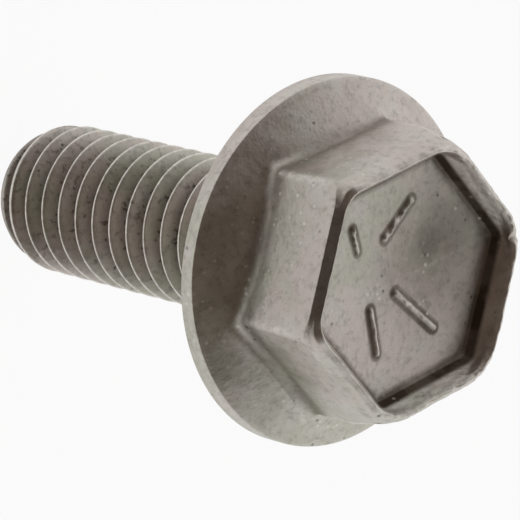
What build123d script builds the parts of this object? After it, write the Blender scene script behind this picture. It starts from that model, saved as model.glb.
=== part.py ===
from build123d import *
import math
import os

# Flanged hexagon bolt with a raised rim round an indented top, M6 x 16, forged in one piece.
# Millimetres. Z is the bolt's axis. The origin is the middle of the bearing face under the flange:
# the head is above it and the threaded shank hangs below.

# Thread and shank
thread_diameter = 6.0
thread_pitch = 1.0
thread_crest_width = 0.14
thread_flank_angle = 30.0
thread_start_angle = 73.4
shank_length = 16.0
tip_flat_diameter = 4.6
tip_lead_length = 1.35
neck_diameter = 4.4
neck_length = 2.3
neck_fillet = 0.3

# Flange
flange_diameter = 14.2
flange_rim_height = 0.65
flange_edge_break = 0.1
flange_cone_angle = 29.0

# Hexagon
hexagon_across_flats = 10.0
head_height = 5.76
hexagon_base_chamfer = 0.3
hexagon_edge_rounding = 0.35
shoulder_rounding = 0.7
corner_trim_angle = 45.0
corner_trim_diameter = 9.58

# Indented top
recess_floor_across_flats = 8.1
recess_corner_rounding = 0.3
recess_wall_height = 0.5
recess_wall_draft = 21.8
rim_slope_height = 0.6
rim_slope_draft = 45.0

# Four raised strokes on the floor, each with the place of its middle, its length and its direction
stroke_width = 0.34
stroke_height = 0.14
strokes = [
    ((2.15, -2.40), 1.25, 101.7),
    ((-0.06, -2.44), 2.05, 34.0),
    ((2.01, 1.32), 2.05, 87.2),
    ((-0.32, 1.40), 2.75, 128.4),
]


def tangent(degrees):
    return math.tan(math.radians(degrees))


# Radii, depths and heights that follow from the sizes
thread_radius = thread_diameter / 2
thread_depth = (thread_pitch - thread_crest_width) / 2 / tangent(thread_flank_angle)
root_radius = thread_radius - thread_depth
neck_radius = neck_diameter / 2
tip_radius = tip_flat_diameter / 2
flange_radius = flange_diameter / 2
corner_radius = hexagon_across_flats / math.sqrt(3)
rounded_corner_radius = corner_radius - hexagon_edge_rounding * (2 / math.sqrt(3) - 1)
rim_inner_height = head_height - rim_slope_height
floor_height = rim_inner_height - recess_wall_height


def revolved(points):
    """A solid of revolution about the axis, from a profile of (radius, height) points."""
    return revolve(Plane.XZ * Polygon(*points, align=None), Axis.Z)


def hexagon(across_flats, height, rounding):
    """A flat hexagon at a height, its corners on X and rounded."""
    corners = RegularPolygon(across_flats / 2, 6, major_radius=False)
    return Pos(0, 0, height) * fillet(corners.vertices(), rounding)


# Shank: neck, full diameter at the crests, lead cone down to the flat tip
crest_end = -neck_length - (thread_radius - neck_radius)
shank = revolved([
    (0, 0),
    (neck_radius + neck_fillet, 0),
    (neck_radius, -neck_fillet),
    (neck_radius, -neck_length),
    (thread_radius, crest_end),
    (thread_radius, tip_lead_length - shank_length),
    (tip_radius, -shank_length),
    (0, -shank_length),
])

# Thread groove: one turn of a V swept along the helix, set end to end from below the tip into the neck
mouth_depth = thread_depth + 0.08
mouth_half_width = mouth_depth * tangent(thread_flank_angle)
turn_path = Helix(thread_pitch, thread_pitch, root_radius)
groove_section = Plane(origin=turn_path @ 0, x_dir=(1, 0, 0), z_dir=(0, 1, 0)) * Polygon(
    (0, 0),
    (mouth_depth, -mouth_half_width),
    (mouth_depth, mouth_half_width),
    align=None,
)
groove_turn = Rot(0, 0, thread_start_angle) * sweep(groove_section, path=turn_path, is_frenet=True)
turns = math.ceil((shank_length - neck_length) / thread_pitch) + 2
grooves = [Pos(0, 0, -shank_length + (i - 1) * thread_pitch) * groove_turn for i in range(turns)]
shank = shank - grooves

# Flange: flat bearing face, rim band with broken edges, cone that rises to the hexagon
cone_base_radius = flange_radius - flange_edge_break
flange = revolved([
    (0, 0),
    (cone_base_radius, 0),
    (flange_radius, flange_edge_break),
    (flange_radius, flange_rim_height - flange_edge_break),
    (cone_base_radius, flange_rim_height),
    (0, flange_rim_height + cone_base_radius * tangent(flange_cone_angle)),
])

# Hexagon: a prism with rounded edges and shoulder, its corners trimmed by a cone, eased into the flange
prism = extrude(hexagon(hexagon_across_flats, 0, hexagon_edge_rounding), head_height)
prism = fillet(prism.faces().sort_by(Axis.Z)[-1].edges(), shoulder_rounding)
trim_radius = corner_trim_diameter / 2
trim = revolved([
    (0, 0),
    (corner_radius, 0),
    (corner_radius, head_height - (corner_radius - trim_radius) * tangent(corner_trim_angle)),
    (trim_radius, head_height),
    (0, head_height),
])
head = flange + (prism & trim)
cone = head.faces().filter_by(GeomType.CONE).sort_by(SortBy.AREA)[-1]
base_edges = cone.edges().filter_by(lambda e: e.geom_type not in (GeomType.CIRCLE, GeomType.LINE))
room_on_cone = cone_base_radius - rounded_corner_radius
head = chamfer(base_edges, min(hexagon_base_chamfer, 0.8 * room_on_cone))

# Indentation: sloping inner side of the rim, drafted wall, flat floor
wall_top_flats = recess_floor_across_flats + 2 * recess_wall_height * tangent(recess_wall_draft)
wall_cut = extrude(
    hexagon(recess_floor_across_flats, floor_height, recess_corner_rounding),
    recess_wall_height,
    taper=-recess_wall_draft,
)
rim_cut = extrude(
    hexagon(wall_top_flats, rim_inner_height, recess_corner_rounding),
    rim_slope_height,
    taper=-rim_slope_draft,
)
head = head - wall_cut - rim_cut

# Strokes: bars with round ends that stand on the floor
for middle, length, direction in strokes:
    outline = Pos(*middle, floor_height - stroke_height) * Rot(0, 0, direction) * SlotOverall(length, stroke_width)
    head = head + extrude(outline, 2 * stroke_height)

bolt = head + shank

os.makedirs("parts", exist_ok=True)
export_step(bolt, "parts/bolt.step")
print("volume", round(bolt.volume, 1), "valid", bolt.is_valid, "solids", len(bolt.solids()), "faces", len(bolt.faces()))
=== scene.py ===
import math

import bpy
import numpy as np
from mathutils import Matrix, Vector, noise
from mathutils.geometry import delaunay_2d_cdt


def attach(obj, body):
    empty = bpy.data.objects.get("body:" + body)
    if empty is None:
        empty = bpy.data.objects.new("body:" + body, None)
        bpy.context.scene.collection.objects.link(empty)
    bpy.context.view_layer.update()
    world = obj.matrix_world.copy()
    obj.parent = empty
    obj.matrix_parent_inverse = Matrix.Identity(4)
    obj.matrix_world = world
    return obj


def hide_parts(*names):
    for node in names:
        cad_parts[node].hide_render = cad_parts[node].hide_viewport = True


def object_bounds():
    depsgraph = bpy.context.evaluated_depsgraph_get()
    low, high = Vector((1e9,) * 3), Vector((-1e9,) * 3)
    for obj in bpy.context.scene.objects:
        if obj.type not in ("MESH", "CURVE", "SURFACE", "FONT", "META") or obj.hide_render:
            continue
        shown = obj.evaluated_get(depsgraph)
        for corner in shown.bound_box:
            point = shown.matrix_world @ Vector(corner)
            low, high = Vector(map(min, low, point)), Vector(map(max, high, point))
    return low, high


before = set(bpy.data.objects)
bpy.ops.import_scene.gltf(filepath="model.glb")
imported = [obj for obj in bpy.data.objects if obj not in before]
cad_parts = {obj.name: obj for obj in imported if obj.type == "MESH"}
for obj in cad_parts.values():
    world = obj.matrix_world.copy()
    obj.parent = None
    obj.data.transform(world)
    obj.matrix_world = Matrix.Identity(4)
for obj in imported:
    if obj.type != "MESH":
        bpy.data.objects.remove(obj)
cad_low, cad_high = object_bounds()

# Sizes of the bolt in millimetres, in the row's frame: Z is the axis, 0 the bearing face
MM = 0.001
flange_radius = cad_high.x / MM
tip_height = cad_low.z / MM
top_height = cad_high.z / MM

thread_radius = 3.0
thread_pitch = 1.0
thread_depth = 0.62
thread_phase = -14.649
thread_top = -2.45
neck_radius = 2.2
tip_flat_radius = 2.33
tip_lead_height = 1.9

# The flange's rim band is lower on one side: its heights, the direction of that side and the dip's reach
rim_height_low = 0.60
rim_height_full = 0.83
rim_low_direction = math.radians(-25)
rim_low_reach = (0.1, 1.1)
rim_edge_rounding = 0.09
cone_top_radius = 5.2
cone_top_height = 1.65

hexagon_half = 5.0
base_fillet_radius = 0.62
shoulder_start_height = 4.7
# The hexagon's upright edges are crisp below and widely rounded towards the rim
lower_corner_rounding = 0.42
upper_corner_rounding = 2.1
crisp_corner_rounding = 0.6
recess_corner_rounding = 0.35
# The side of the hexagon whose shoulder and crest are lower, in degrees
low_side_direction = -30

# A low bead of metal along the foot of one side: direction, distance from the axis, half width and height
bead_direction = 30
bead_half = 5.38
bead_width = 0.11
bead_height = 0.07

floor_height = 4.50
floor_dish_depth = 0.09

# Raised strokes on the floor: both ends, half the width and how worn they are
strokes = [
    ((2.12, -2.79), (2.02, -1.88), 0.19, 0.75),
    ((-1.00, -2.80), (0.56, -1.83), 0.25, 0.8),
    ((1.83, 0.58), (1.91, 2.28), 0.24, 0.25),
    ((0.44, 0.41), (-1.11, 2.42), 0.26, 0.25),
]
stroke_height = 0.16

# Darkened places, painted by where they lie: a patch on the recess floor and a band on the low side's
# shoulder; and the side with the olive cast
floor_dark_patch = 0.6
floor_dark_patch_place = (-1.7, -0.5)
floor_dark_patch_reach = 2.7
shoulder_dark_band = 0.6
olive_direction = 45

# Dents on the rim: direction in degrees, radius, height, reach and depth
dents = [
    (179.0, 5.00, 5.55, 0.17, 0.26),
    (-171.5, 4.80, 5.50, 0.12, 0.12),
    (-134.0, 4.55, 5.40, 0.12, 0.08),
    (-146.0, 4.62, 5.45, 0.10, 0.07),
    (-158.0, 4.75, 5.50, 0.10, 0.07),
    (33.0, 5.00, 5.25, 0.13, 0.12),
    (101.0, 4.70, 5.60, 0.16, 0.08),
    (84.0, 4.60, 5.50, 0.12, 0.06),
    (168.0, 4.80, 5.60, 0.10, 0.08),
    (-86.0, 4.78, 5.55, 0.10, 0.05),
]

# Colours of the metal, its dirt and painted shade, its pits, and its specks and painted highlights
steel_pink = (0.61, 0.545, 0.505, 1)
steel_olive = (0.545, 0.535, 0.46, 1)
steel_light = (0.70, 0.67, 0.63, 1)
steel_dark = (0.30, 0.28, 0.25, 1)
speck_and_highlight_colour = (0.82, 0.79, 0.73, 1)
dirt_and_shade_brown = (0.095, 0.07, 0.045, 1)
pit_dark = (0.06, 0.05, 0.04, 1)

# Share of plain white in what the camera and reflections see of the floor; the rest keeps the shadow
floor_glow_share = 0.94

# The world: the direction of its dark cap, and its level by nearness to that direction, 0 opposite to 1
dark_cap = (0.583, -0.272, 0.766)
world_levels = ((0.45, 1.0), (0.56, 0.86), (0.66, 0.50), (0.76, 0.20), (0.90, 0.06))

# Sampling of the mesh
columns_per_sector = 42
sector_pull = 0.6


def column_angles():
    """Angles of the mesh's columns, drawn closer together at the six corners."""
    t = np.arange(columns_per_sector) / columns_per_sector * 2 - 1
    within = 30.0 * (sector_pull * t + (1 - sector_pull) * t ** 3)
    return np.radians(np.concatenate([60.0 * k + within for k in range(6)]))


theta = column_angles()
columns = len(theta)


def hexagon_radius(half, rounding, angle):
    """Distance from the axis to a hexagon with rounded corners, which lie at 0, 60, 120 degrees ..."""
    phi = np.abs(np.mod(angle, math.pi / 3) - math.pi / 6)
    flat = half / np.cos(phi)
    corner = (half - rounding) / math.cos(math.pi / 6)
    delta = math.pi / 6 - phi
    arc = corner * np.cos(delta) + np.sqrt(np.maximum(rounding ** 2 - (corner * np.sin(delta)) ** 2, 0))
    on_arc = half * np.tan(phi) > half * math.tan(math.pi / 6) - rounding * math.tan(math.pi / 6)
    return np.where(on_arc, arc, flat)


def smooth(value, low, high):
    """0 below low, 1 above high and a smooth rise between them."""
    t = np.clip((np.asarray(value, float) - low) / (high - low), 0, 1)
    return t * t * (3 - 2 * t)


def rounded_line(corners, steps):
    """Points of a polyline of (width, height, rounding) corners, each rounded by an arc of that radius."""
    points = [np.array(corners[0][:2], float)]
    for before, here, after in zip(corners, corners[1:], corners[2:]):
        middle = np.array(here[:2], float)
        back = np.array(before[:2], float) - middle
        ahead = np.array(after[:2], float) - middle
        back /= np.linalg.norm(back)
        ahead /= np.linalg.norm(ahead)
        half = math.acos(np.clip(back @ ahead, -1, 1)) / 2
        centre = middle + (back + ahead) / np.linalg.norm(back + ahead) * here[2] / math.sin(half)
        start = middle + back * here[2] / math.tan(half) - centre
        end = middle + ahead * here[2] / math.tan(half) - centre
        sweep = math.pi - 2 * half
        for i in range(steps + 1):
            t = i / steps
            arm = (start * math.sin((1 - t) * sweep) + end * math.sin(t * sweep)) / math.sin(sweep)
            points.append(centre + arm)
    points.append(np.array(corners[-1][:2], float))
    return points


def between(a, b, count):
    """Points strictly between a and b, evenly spaced."""
    return [a + (b - a) * i / (count + 1) for i in range(1, count + 1)]


def subdivided(points, longest):
    """The points of a line, with more of them where two are further apart than the longest step."""
    result = [points[0]]
    for a, b in zip(points, points[1:]):
        extra = int(np.linalg.norm(b - a) / longest)
        result += between(a, b, extra) + [b]
    return result


def rim_top(angle):
    """Height of the rim band round the flange."""
    away = np.abs(np.mod(angle - rim_low_direction + math.pi, 2 * math.pi) - math.pi)
    return rim_height_low + (rim_height_full - rim_height_low) * smooth(away, *rim_low_reach)


def cone_slope():
    """Slope of the flange's cone at each column, from the rim band to the hexagon."""
    return (cone_top_height - rim_top(theta)) / (flange_radius - cone_top_radius)


def cone_height(radius):
    return cone_top_height + (cone_top_radius - radius) * cone_slope()


def flange_rings():
    """Rings from the neck out along the bearing face and up the rim band to the edge of the cone."""
    under = [
        (neck_radius, -0.3, 0),
        (neck_radius + 0.02, 0, 0.25),
        (flange_radius, 0, 0.05),
        (flange_radius, 0.4, 0),
    ]
    line = subdivided(rounded_line(under, 6), 0.3)
    rings = [(np.full(columns, r), np.full(columns, z)) for r, z in line]
    tilt = np.arctan(cone_slope())
    rounding = rim_edge_rounding
    centre_r = flange_radius - rounding
    centre_z = cone_height(flange_radius) - rounding * np.tan(math.pi / 4 - tilt / 2)
    for t in np.linspace(0, 1, 7):
        angle = t * (math.pi / 2 - tilt)
        rings.append((centre_r + rounding * np.cos(angle), centre_z + rounding * np.sin(angle)))
    return rings


def near_share(angle, middle, full, none):
    """1 within the first angle of a direction and 0 beyond the second, all in degrees."""
    away = np.abs(np.mod(angle - math.radians(middle) + math.pi, 2 * math.pi) - math.pi)
    return 1 - smooth(away, math.radians(full), math.radians(none))


def bead_share(angle, radius):
    """1 on the line of the bead at one side's foot, 0 away from it."""
    half = radius * np.cos(angle - math.radians(bead_direction))
    return np.exp(-((half - bead_half) / bead_width) ** 2) * near_share(angle, bead_direction, 24, 33)


def corner_rounding(z):
    """Rounding of the hexagon's corners: it grows towards the rim, less at the low side's two corners."""
    crisp = near_share(theta, low_side_direction, 44, 56)
    top = upper_corner_rounding + (crisp_corner_rounding - upper_corner_rounding) * crisp
    return lower_corner_rounding + (top - lower_corner_rounding) * smooth(z, 3.4, 5.1)


def hexagon_rings(outer_radius):
    """Rings over the cone, the fillet at the hexagon's foot and the hexagon's sides."""
    side = hexagon_radius(hexagon_half, lower_corner_rounding, theta)
    slope = cone_slope()
    tilt = np.arctan(slope)
    centre_r = side + base_fillet_radius
    centre_z = cone_height(centre_r) + base_fillet_radius * np.sqrt(1 + slope ** 2)
    foot_r = centre_r - base_fillet_radius * np.sin(tilt)
    rings = []
    for t in np.linspace(0, 1, 11)[1:-1]:
        r = outer_radius + (foot_r - outer_radius) * t
        rings.append((r, cone_height(r)))
    for t in np.linspace(0, 1, 11):
        angle = 1.5 * math.pi - tilt - t * (math.pi / 2 - tilt)
        across, up = base_fillet_radius * np.cos(angle), base_fillet_radius * np.sin(angle)
        rings.append((centre_r + across, centre_z + up))
    rings = [(r, z + bead_height * bead_share(theta, r)) for r, z in rings]
    for t in np.linspace(0, 1, 15)[1:-1]:
        z = centre_z + (shoulder_start_height - centre_z) * t
        rings.append((hexagon_radius(hexagon_half, corner_rounding(z), theta), z))
    return rings


def top_rings():
    """Rings up the shoulder, over the crest and down the rim's slope and the recess wall to the floor."""
    common = [(4.24, 4.95, 0.06), (4.07, floor_height, 0.18), (3.7, floor_height, 0)]
    usual = [
        (hexagon_half, shoulder_start_height, 0),
        (hexagon_half, 4.85, 0.6),
        (4.84, 5.43, 0.24),
        (4.63, top_height - 0.01, 0.07),
    ]
    low_side = [
        (hexagon_half, shoulder_start_height, 0),
        (hexagon_half, 5.07, 0.1),
        (4.88, 5.22, 0.1),
        (4.70, 5.42, 0.04),
    ]
    line, low_line = [], []
    usual_points = rounded_line(usual + common, 6)[:-1]
    low_points = rounded_line(low_side + common, 6)[:-1]
    for a, b, c, d in zip(usual_points, usual_points[1:], low_points, low_points[1:]):
        extra = int(max(np.linalg.norm(b - a), np.linalg.norm(d - c)) / 0.09)
        line += [a] + between(a, b, extra)
        low_line += [c] + between(c, d, extra)
    line.append(usual_points[-1])
    low_line.append(low_points[-1])
    share = near_share(theta, low_side_direction, 22, 32)
    crest = max(range(len(line)), key=lambda i: line[i][1])
    rings = []
    for i, (full, low) in enumerate(zip(line, low_line)):
        half = full[0] + (low[0] - full[0]) * share
        z = full[1] + (low[1] - full[1]) * share
        rounding = corner_rounding(z)
        if i > crest:
            widest = corner_rounding(top_height)
            rounding = recess_corner_rounding + (widest - recess_corner_rounding) * smooth(z, 4.95, 5.5)
        radius = hexagon_radius(half, rounding, theta)
        rings.append(dented(radius, z))
    return rings


def dented(radius, z):
    """The rim's nicks, dents and slight waves from handling and forging."""
    x, y = radius * np.cos(theta), radius * np.sin(theta)
    radius, z = radius.copy(), z.copy()
    for azimuth, at_radius, at_height, reach, depth in dents:
        a = math.radians(azimuth)
        dent_x, dent_y = at_radius * math.cos(a), at_radius * math.sin(a)
        away2 = (x - dent_x) ** 2 + (y - dent_y) ** 2 + (z - at_height) ** 2
        press = depth * np.exp(-away2 / reach ** 2)
        z -= 0.8 * press
        radius -= 0.6 * press * smooth(radius, 4.3, 4.8)
    places = list(zip(x, y, z))
    wave = np.array([noise.noise(Vector((px * 1.7, py * 1.7, pz * 1.7 + 3.0))) for px, py, pz in places])
    fine = np.array([noise.noise(Vector((px * 6.0, py * 6.0, pz * 6.0))) for px, py, pz in places])
    on_rim = smooth(z, 4.95, 5.3)
    rough = 0.012 + 0.036 * (1 - near_share(theta, low_side_direction, 60, 100))
    worn = on_rim * (0.04 * (wave + 0.4) + rough * (fine + 0.3))
    return radius, np.minimum(z - worn, top_height - 0.003)


def floor_relief(x, y):
    """Height over the recess floor's edge: a shallow dish and the raised strokes."""
    r = np.hypot(x, y)
    height = -floor_dish_depth * (1 - smooth(r, 0.8, 3.9))
    for start, end, half_width, wear in strokes:
        ax, ay = start
        bx, by = end
        length2 = (bx - ax) ** 2 + (by - ay) ** 2
        t = np.clip(((x - ax) * (bx - ax) + (y - ay) * (by - ay)) / length2, 0, 1)
        away = np.hypot(x - ax - t * (bx - ax), y - ay - t * (by - ay)) / half_width
        near = np.flatnonzero(away < 1)
        gone = np.zeros(len(x))
        gone[near] = [noise.noise(Vector((x[i] * 3.2, y[i] * 3.2, 7.0))) + 0.35 for i in near]
        left = 1 - wear * np.clip(1.4 * gone, 0, 0.9)
        height = height + stroke_height * left * (0.5 + 0.5 * np.cos(math.pi * np.clip(away, 0, 1)))
    return height


def floor_points(outline):
    """Points for the floor: a plain grid, and closer rows that run along each stroke."""
    step = 0.13
    grid = np.arange(-4.8, 4.81, step)
    gx, gy = np.meshgrid(grid, grid)
    gx, gy = gx.ravel(), gy.ravel()
    angle = np.arctan2(gy, gx)
    inside = np.hypot(gx, gy) < hexagon_radius(outline - 0.1, 0.5, angle)
    far = np.ones(len(gx), bool)
    rows = []
    for start, end, half_width, _ in strokes:
        a, b = np.array(start), np.array(end)
        along = (b - a) / np.linalg.norm(b - a)
        across = np.array([-along[1], along[0]])
        reach = half_width * 1.5
        span = np.arange(-reach, np.linalg.norm(b - a) + reach, 0.055)
        for offset in np.linspace(-reach, reach, 17):
            for s in span:
                rows.append(a + along * s + across * offset)
        local = (gx - a[0]) * along[0] + (gy - a[1]) * along[1]
        side = (gx - a[0]) * across[0] + (gy - a[1]) * across[1]
        far_end = np.linalg.norm(b - a) + reach + 0.05
        close = (np.abs(side) < reach + 0.05) & (local > -reach - 0.05) & (local < far_end)
        far &= ~close
    keep = inside & far
    return [Vector(p) for p in zip(gx[keep], gy[keep])] + [Vector(p) for p in rows]


def thread_profile(phase):
    """Depth of the thread below its crest, as a share, for a phase of 0 to 1 pitch with the crest at 0."""
    away = np.abs(np.mod(phase + 0.5, 1.0) - 0.5)
    crest_half, root_half = 0.055, 0.37
    return smooth_corner((away - crest_half) / (root_half - crest_half))


def smooth_corner(t):
    """A straight rise from 0 to 1 with softly rounded ends."""
    t = np.clip(t, -0.2, 1.2)
    soft = 0.12
    low = np.where(t < -soft, 0, np.where(t < soft, (t + soft) ** 2 / (4 * soft), t))
    u = 1 - low
    high = np.where(u < -soft, 0, np.where(u < soft, (u + soft) ** 2 / (4 * soft), u))
    return 1 - high


def shank_radius(angle, z):
    """Radius of the shank at an angle and a height: neck, thread and lead cone."""
    phase = (z - thread_phase) / thread_pitch - angle / (2 * math.pi)
    full = thread_radius - thread_depth * thread_profile(phase)
    runout = smooth(z, thread_top - 0.6, thread_top + 0.25)
    body = full + (neck_radius - full) * runout
    share = np.clip((z - tip_height) / tip_lead_height, 0, 1)
    lead = thread_radius + 0.01 - (thread_radius - tip_flat_radius) * (1 - share) ** 2
    return np.minimum(body, lead)


def thread_rows():
    """Heights of the helical rows over one pitch, as shares of it, closer together at crest and root."""
    crest = [-0.085, -0.05, -0.02, 0.02, 0.05, 0.085]
    return np.array(crest + [0.16, 0.24, 0.32, 0.4, 0.5, 0.6, 0.68, 0.76, 0.84])


class Shell:
    """Collects the vertices and faces of one closed mesh."""

    def __init__(self):
        self.points = []
        self.faces = []

    def add_ring(self, radius, height):
        first = len(self.points)
        for r, z, a in zip(radius, height, theta):
            self.points.append((r * math.cos(a), r * math.sin(a), z))
        return list(range(first, first + len(theta)))

    def join(self, lower, upper):
        n = len(lower)
        for j in range(n):
            k = (j + 1) % n
            self.faces.append((lower[j], lower[k], upper[k], upper[j]))


def shank_mesh(shell, neck_ring):
    """Thread rows that follow the helix, cut off level at the neck and at the tip."""
    rows = thread_rows()
    per_pitch = len(rows)
    bottom, top = tip_height + 0.02, -0.3
    first_turn = int(math.floor((bottom - thread_phase) / thread_pitch)) - 2
    last_turn = int(math.ceil((top - thread_phase) / thread_pitch)) + 1
    grid = []
    shares = [turn + share for turn in range(first_turn, last_turn + 1) for share in rows]
    level = {}

    def point(angle, z):
        r = float(shank_radius(np.array([angle]), np.array([z]))[0])
        shell.points.append((r * math.cos(angle), r * math.sin(angle), z))
        return len(shell.points) - 1

    for share in shares:
        row = []
        heights = thread_phase + thread_pitch * (share + theta / (2 * math.pi))
        radii = shank_radius(theta, heights)
        for j, angle in enumerate(theta):
            z = heights[j]
            if z <= bottom:
                key = ("bottom", j)
                if key not in level:
                    level[key] = point(angle, bottom)
                row.append(level[key])
            elif z >= top:
                row.append(neck_ring[j])
            else:
                shell.points.append((radii[j] * math.cos(angle), radii[j] * math.sin(angle), z))
                row.append(len(shell.points) - 1)
        grid.append(row)
    for i in range(len(grid) - 1):
        for j in range(columns):
            a, d = grid[i][j], grid[i + 1][j]
            if j + 1 < columns:
                b, c = grid[i][j + 1], grid[i + 1][j + 1]
            else:
                if i + per_pitch + 1 >= len(grid):
                    continue
                b, c = grid[i + per_pitch][0], grid[i + per_pitch + 1][0]
            corners = []
            for v in (a, b, c, d):
                if v not in corners:
                    corners.append(v)
            if len(corners) > 2:
                shell.faces.append(tuple(corners))
    return [level[("bottom", j)] for j in range(columns)]


def close_with_point(shell, ring, height, up):
    shell.points.append((0, 0, height))
    centre = len(shell.points) - 1
    for j in range(len(ring)):
        k = (j + 1) % len(ring)
        face = (ring[j], ring[k], centre)
        shell.faces.append(face if up else face[::-1])


def close_floor(shell, ring, outline):
    """Fills the recess floor inside its ring with triangles that follow the strokes."""
    edge = [Vector(shell.points[i][:2]) for i in ring]
    points = edge + floor_points(outline)
    loops = [list(range(len(edge)))]
    flat, _, triangles, origin, _, _ = delaunay_2d_cdt(points, [], loops, 1, 1e-5)
    xs = np.array([p.x for p in flat])
    ys = np.array([p.y for p in flat])
    heights = floor_height + floor_relief(xs, ys)
    index = {}
    for i, sources in enumerate(origin):
        on_edge = [s for s in sources if s < len(edge)]
        if on_edge:
            index[i] = ring[on_edge[0]]
        else:
            shell.points.append((flat[i].x, flat[i].y, float(heights[i])))
            index[i] = len(shell.points) - 1
    for triangle in triangles:
        shell.faces.append(tuple(index[i] for i in triangle))


def surface_shares(points):
    """Shares for each point, from 0 to 1: how much it is darkened by dirt and painted shade, how much it is
    lightened by wear and painted highlight, how olive and how pitted it is, with pits denser in the thread
    roots as painted shade."""
    x, y, z = np.array(points).T
    r, angle = np.hypot(x, y), np.arctan2(y, x)
    across = np.abs(np.mod(angle, math.pi / 3) - math.pi / 6)
    half = r * np.cos(across)
    shank = (z < -0.05) & (r < 3.2)
    phase = (z - thread_phase) / thread_pitch - angle / (2 * math.pi)
    crest = np.abs(np.mod(phase + 0.5, 1.0) - 0.5)
    thread = 1 - smooth(z, thread_top - 0.4, thread_top + 0.1)
    thread = thread * smooth(z, tip_height + 0.5, tip_height + 1.2)
    root = smooth(thread_radius - r, 0.1, thread_depth)
    in_recess = (z > 4.2) & (half < 4.75)
    # The recess wall and its foot are darkened: partly dirt and oil, partly painted shade.
    wall = smooth(z, floor_height, floor_height + 0.12) * (1 - smooth(z, 4.88, 5.02))
    wall = wall * smooth(half, 3.95, 4.08)
    foot = smooth(half, 3.84, 4.02) * (1 - smooth(z, floor_height + 0.05, floor_height + 0.3))
    # Painted shade: darker lines along the feet of the raised strokes.
    stroke_foot = np.zeros(len(x))
    ridge = np.zeros(len(x))
    for start, end, half_width, wear in strokes:
        a, b = np.array(start), np.array(end)
        run = b - a
        t = np.clip(((x - a[0]) * run[0] + (y - a[1]) * run[1]) / (run @ run), 0, 1)
        away = np.hypot(x - a[0] - t * run[0], y - a[1] - t * run[1])
        stroke_foot = np.maximum(stroke_foot, 1 - smooth(np.abs(away - half_width * 0.85), 0.05, 0.16))
        # Painted highlight: the ridges of the raised strokes are made lighter, less so where worn.
        ridge = np.maximum(ridge, (1 - 0.6 * wear) * (1 - smooth(away, 0.03, half_width * 0.5)))
    # Painted shade: a darker band in the crease at the hexagon's foot.
    head_foot = smooth(r, 4.4, 5.0) * (1 - smooth(np.abs(z - 1.95), 0.1, 0.55))
    head_foot = head_foot * (1 - smooth(half, 5.25, 5.6))
    # Painted shade: the thread roots are darkened.
    dirt_and_shade = np.where(shank, 0.5 * root, 0)
    dirt_and_shade = np.where(in_recess, np.maximum(np.maximum(wall, 0.75 * foot), 0.7 * stroke_foot), dirt_and_shade)
    dirt_and_shade = np.where((z > 1.2) & (z < 3.0) & (r > 4.8), 0.5 * head_foot, dirt_and_shade)
    # Painted highlight: the bead's line is made lighter, on top of its real relief.
    bead = bead_share(angle, r) * (z > 1.0) * (z < 2.2)
    # Painted highlight: the hexagon's upright edges are made lighter.
    upright = smooth(across, math.radians(27.5), math.radians(29.6)) * (1 - smooth(z, 3.8, 4.7))
    upright = upright * (z > 1.9) * (r < 6.2)
    # Painted highlight: a lighter line along the rim's crest.
    rim_line = 1 - smooth(np.abs(z - 5.52), 0.04, 0.14)
    # Painted highlight: a lighter line along the flange's outer edge.
    flange_line = (r > flange_radius - 0.09) * (z > 0.3)
    # Thread crests made lighter: wear and painted highlight.
    highlight_and_wear = np.where(shank, thread * (1 - smooth(crest, 0.04, 0.09)), 0)
    highlight_and_wear = np.where(z > 4.2, np.maximum(0.45 * rim_line * (half > 4.4), in_recess * ridge), highlight_and_wear)
    highlight_and_wear = np.maximum(highlight_and_wear, np.maximum(0.7 * upright, 0.25 * flange_line))
    highlight_and_wear = np.maximum(highlight_and_wear, 0.45 * bead)
    on_floor = (z > 4.2) & (half < 4.05) & (z < 4.9)
    # A darker patch painted on the recess floor.
    patch_x, patch_y = floor_dark_patch_place
    middle = np.exp(-((x - patch_x) ** 2 + (y - patch_y) ** 2) / floor_dark_patch_reach ** 2)
    dirt_and_shade = np.where(on_floor, np.maximum(dirt_and_shade, floor_dark_patch * middle), dirt_and_shade)
    # A darker band painted on the low side's shoulder.
    shoulder = (half > 4.72) & (z > 5.08) & (z < 5.5)
    shoulder_band = shoulder_dark_band * near_share(angle, low_side_direction, 20, 31)
    dirt_and_shade = np.where(shoulder, np.maximum(dirt_and_shade, shoulder_band), dirt_and_shade)
    outside = near_share(angle, olive_direction, 25, 95)
    inside = smooth(-0.25 * x - y, -0.6, 1.6)
    olive = np.where(on_floor, inside, np.where(shank, 0.75, outside))
    # On the shank the pits grow denser with the painted shade in the thread roots.
    pits_and_root_shade = np.where(shank, 0.15 + dirt_and_shade, 0.08)
    return np.clip(dirt_and_shade, 0, 1), np.clip(highlight_and_wear, 0, 1), olive, pits_and_root_shade


def build_bolt():
    shell = Shell()
    flange = flange_rings()
    rings = flange + hexagon_rings(flange[-1][0]) + top_rings()
    placed = [shell.add_ring(r, z) for r, z in rings]
    for lower, upper in zip(placed, placed[1:]):
        shell.join(lower, upper)
    close_floor(shell, placed[-1], rings[-1][0].min())
    bottom = shank_mesh(shell, placed[0])
    tip = shell.add_ring(np.full(columns, tip_flat_radius - 0.04), np.full(columns, tip_height))
    shell.join(tip, bottom)
    close_with_point(shell, tip, tip_height, False)
    mesh = bpy.data.meshes.new("bolt_skin")
    mesh.from_pydata([tuple(c * MM for c in p) for p in shell.points], [], shell.faces)
    for name, values in zip(("dirt_and_shade", "wear_and_highlight", "olive", "pits_and_root_shade"), surface_shares(shell.points)):
        layer = mesh.attributes.new(name, "FLOAT", "POINT")
        layer.data.foreach_set("value", values.astype(np.float32))
    mesh.validate()
    for polygon in mesh.polygons:
        polygon.use_smooth = True
    return mesh


def node(tree, kind, **values):
    made = tree.nodes.new(kind)
    for key, value in values.items():
        setattr(made, key, value)
    return made


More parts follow.
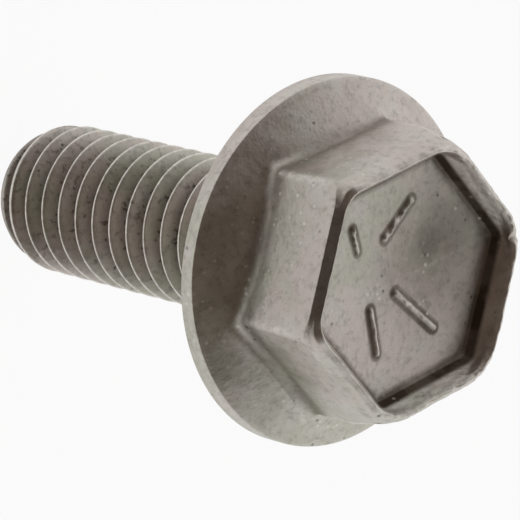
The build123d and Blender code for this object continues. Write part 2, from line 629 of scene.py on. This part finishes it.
def steel():
    """Dull zinc-coated steel with a pink and olive cast, pits, light specks, dirt and painted shade, and
    worn edges and painted highlights.
    """
    material = bpy.data.materials.new("zinc_coated_steel")
    material.use_nodes = True
    tree = material.node_tree
    shader = tree.nodes["Principled BSDF"]
    shader.inputs["Metallic"].default_value = 0.8
    place = node(tree, "ShaderNodeTexCoord").outputs["Object"]

    def texture(scale, detail, rough=0.55):
        made = node(tree, "ShaderNodeTexNoise")
        made.inputs["Scale"].default_value = scale
        made.inputs["Detail"].default_value = detail
        made.inputs["Roughness"].default_value = rough
        tree.links.new(place, made.inputs["Vector"])
        return made.outputs["Fac"]

    def span(source, low, high, to_low=0.0, to_high=1.0):
        made = node(tree, "ShaderNodeMapRange", interpolation_type="SMOOTHSTEP")
        for name, value in (("From Min", low), ("From Max", high), ("To Min", to_low), ("To Max", to_high)):
            made.inputs[name].default_value = value
        tree.links.new(source, made.inputs["Value"])
        return made.outputs["Result"]

    def maths(operation, a, b):
        made = node(tree, "ShaderNodeMath", operation=operation)
        for i, value in enumerate((a, b)):
            if isinstance(value, float):
                made.inputs[i].default_value = value
            else:
                tree.links.new(value, made.inputs[i])
        return made.outputs[0]

    def blend(share, under, over):
        made = node(tree, "ShaderNodeMix", data_type="RGBA")
        tree.links.new(share, made.inputs["Factor"])
        for socket, value in ((made.inputs[6], under), (made.inputs[7], over)):
            if isinstance(value, tuple):
                socket.default_value = value
            else:
                tree.links.new(value, socket)
        return made.outputs[2]

    def attribute(name):
        return node(tree, "ShaderNodeAttribute", attribute_name=name).outputs["Fac"]

    wide = texture(230.0, 3.0)
    patch = texture(620.0, 4.0, 0.6)
    fine = texture(3300.0, 3.0, 0.65)
    grain = texture(9000.0, 2.0)
    pits = node(tree, "ShaderNodeTexVoronoi")
    pits.inputs["Scale"].default_value = 1700.0
    tree.links.new(place, pits.inputs["Vector"])
    pit = maths("MULTIPLY", span(pits.outputs["Distance"], 0.05, 0.17, 1.0, 0.0), span(patch, 0.50, 0.62))
    speck_cells = node(tree, "ShaderNodeTexVoronoi")
    speck_cells.inputs["Scale"].default_value = 2300.0
    tree.links.new(place, speck_cells.inputs["Vector"])
    speck = span(speck_cells.outputs["Distance"], 0.10, 0.22, 1.0, 0.0)
    speck = maths("MULTIPLY", speck, span(wide, 0.48, 0.60))

    cast = maths("ADD", attribute("olive"), span(wide, 0.35, 0.65, -0.6, 0.6))
    colour = blend(span(cast, 0.1, 0.9), steel_pink, steel_olive)
    colour = blend(span(patch, 0.45, 0.68, 0.0, 0.7), colour, steel_light)
    colour = blend(span(patch, 0.30, 0.50, 0.35, 0.0), colour, steel_dark)
    colour = blend(span(fine, 0.48, 0.72, 0.0, 0.45), colour, steel_dark)
    # Dark brown for dirt and for painted shade: thread roots, recess wall and foot, stroke feet, the
    # hexagon's foot, and the darker floor patch and shoulder band.
    dirt_and_shade_share = maths("MULTIPLY", attribute("dirt_and_shade"), span(patch, 0.35, 0.62, 0.78, 1.1))
    colour = blend(dirt_and_shade_share, colour, dirt_and_shade_brown)
    # Dark flecks, denser in the thread roots as painted shade.
    fleck = maths("MULTIPLY", span(texture(4200.0, 2.0), 0.56, 0.68), attribute("pits_and_root_shade"))
    colour = blend(maths("MULTIPLY", fleck, 1.3), colour, pit_dark)
    colour = blend(maths("MULTIPLY", speck, 0.6), colour, speck_and_highlight_colour)
    colour = blend(maths("MULTIPLY", pit, 0.75), colour, pit_dark)
    # Lighter where worn and where highlights are painted: thread crests, edges, the bead, the rim's line
    # and the strokes' ridges.
    wear_and_highlight_share = maths("MULTIPLY", attribute("wear_and_highlight"), span(fine, 0.35, 0.60, 0.95, 0.45))
    colour = blend(wear_and_highlight_share, colour, speck_and_highlight_colour)
    tree.links.new(colour, shader.inputs["Base Color"])
    roughness = maths("ADD", span(patch, 0.3, 0.7, 0.34, 0.48), maths("MULTIPLY", dirt_and_shade_share, 0.2))
    tree.links.new(roughness, shader.inputs["Roughness"])

    relief = maths("ADD", maths("MULTIPLY", fine, 0.5), maths("MULTIPLY", grain, 0.16))
    relief = maths("ADD", relief, maths("MULTIPLY", patch, 0.6))
    relief = maths("SUBTRACT", relief, maths("MULTIPLY", pit, 0.25))
    bump = node(tree, "ShaderNodeBump")
    bump.inputs["Strength"].default_value = 0.5
    bump.inputs["Distance"].default_value = 0.00007
    tree.links.new(relief, bump.inputs["Height"])
    tree.links.new(bump.outputs["Normal"], shader.inputs["Normal"])
    return material


def floor_material():
    material = bpy.data.materials.new("pale_floor")
    material.use_nodes = True
    tree = material.node_tree
    tree.nodes.clear()
    output = node(tree, "ShaderNodeOutputMaterial")
    path = node(tree, "ShaderNodeLightPath")
    seen = node(tree, "ShaderNodeMath", operation="MAXIMUM")
    share = node(tree, "ShaderNodeMath", operation="MULTIPLY")
    share.inputs[1].default_value = floor_glow_share
    glow = node(tree, "ShaderNodeEmission")
    glow.inputs["Color"].default_value = (1, 1, 1, 1)
    matt = node(tree, "ShaderNodeBsdfDiffuse")
    matt.inputs["Color"].default_value = (0.86, 0.86, 0.86, 1)
    mix = node(tree, "ShaderNodeMixShader")
    tree.links.new(path.outputs["Is Camera Ray"], seen.inputs[0])
    tree.links.new(path.outputs["Is Glossy Ray"], seen.inputs[1])
    tree.links.new(seen.outputs[0], share.inputs[0])
    tree.links.new(share.outputs[0], mix.inputs["Fac"])
    tree.links.new(matt.outputs[0], mix.inputs[1])
    tree.links.new(glow.outputs[0], mix.inputs[2])
    tree.links.new(mix.outputs[0], output.inputs["Surface"])
    return material


def make_floor():
    mesh = bpy.data.meshes.new("floor")
    reach = 1.5
    z = cad_low.z - 0.01 * MM
    corners = [(-reach, -reach, z), (reach, -reach, z), (reach, reach, z), (-reach, reach, z)]
    mesh.from_pydata(corners, [], [(0, 1, 2, 3)])
    floor = bpy.data.objects.new("floor", mesh)
    bpy.context.scene.collection.objects.link(floor)
    floor.data.materials.append(floor_material())


# The camera, from a fit to the photograph's outline, in millimetres in the row's frame
camera_place = Vector((104.294, -62.741, 119.621))
camera_looks = Vector((-0.60166, 0.36589, -0.71002))
camera_up = Vector((-0.36039, -0.91764, -0.16749))
focal_pixels = 4502.8
image_pixels = 520
sensor_width = 36.0


def make_camera():
    camera = bpy.data.cameras.new("camera")
    camera.sensor_width = sensor_width
    camera.lens = focal_pixels / image_pixels * sensor_width
    camera.clip_start = 0.005
    camera.clip_end = 20
    holder = bpy.data.objects.new("camera", camera)
    bpy.context.scene.collection.objects.link(holder)
    back = -camera_looks.normalized()
    right = camera_up.cross(back).normalized()
    up = back.cross(right)
    turn = Matrix((right, up, back)).transposed()
    holder.matrix_world = Matrix.Translation(camera_place * MM) @ turn.to_4x4()
    bpy.context.scene.camera = holder


def make_world():
    world = bpy.data.worlds.new("studio")
    bpy.context.scene.world = world
    world.use_nodes = True
    tree = world.node_tree
    tree.nodes.clear()
    output = node(tree, "ShaderNodeOutputWorld")
    ground = node(tree, "ShaderNodeBackground")
    place = node(tree, "ShaderNodeTexCoord")
    dot = node(tree, "ShaderNodeVectorMath", operation="DOT_PRODUCT")
    dot.inputs[1].default_value = Vector(dark_cap).normalized()
    ramp = node(tree, "ShaderNodeValToRGB")
    while len(ramp.color_ramp.elements) < len(world_levels):
        ramp.color_ramp.elements.new(0.5)
    for element, (position, level) in zip(ramp.color_ramp.elements, world_levels):
        element.position = position
        warmth = (1 - level) ** 2
        element.color = (level + 0.05 * warmth, level + 0.02 * warmth, level, 1)
    half = node(tree, "ShaderNodeMath", operation="MULTIPLY_ADD")
    half.inputs[1].default_value = 0.5
    half.inputs[2].default_value = 0.5
    white = node(tree, "ShaderNodeBackground")
    path = node(tree, "ShaderNodeLightPath")
    mix = node(tree, "ShaderNodeMixShader")
    tree.links.new(place.outputs["Generated"], dot.inputs[0])
    tree.links.new(dot.outputs["Value"], half.inputs[0])
    tree.links.new(half.outputs[0], ramp.inputs["Fac"])
    tree.links.new(ramp.outputs["Color"], ground.inputs["Color"])
    tree.links.new(path.outputs["Is Camera Ray"], mix.inputs["Fac"])
    tree.links.new(ground.outputs[0], mix.inputs[1])
    tree.links.new(white.outputs[0], mix.inputs[2])
    white.inputs["Color"].default_value = (1, 1, 1, 1)
    tree.links.new(mix.outputs[0], output.inputs["Surface"])


skin = bpy.data.objects.new("bolt_skin", build_bolt())
bpy.context.scene.collection.objects.link(skin)
skin.data.materials.append(steel())
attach(skin, "root")
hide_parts("bolt")

make_floor()
make_world()
make_camera()
bpy.context.scene.view_settings.view_transform = "Standard"
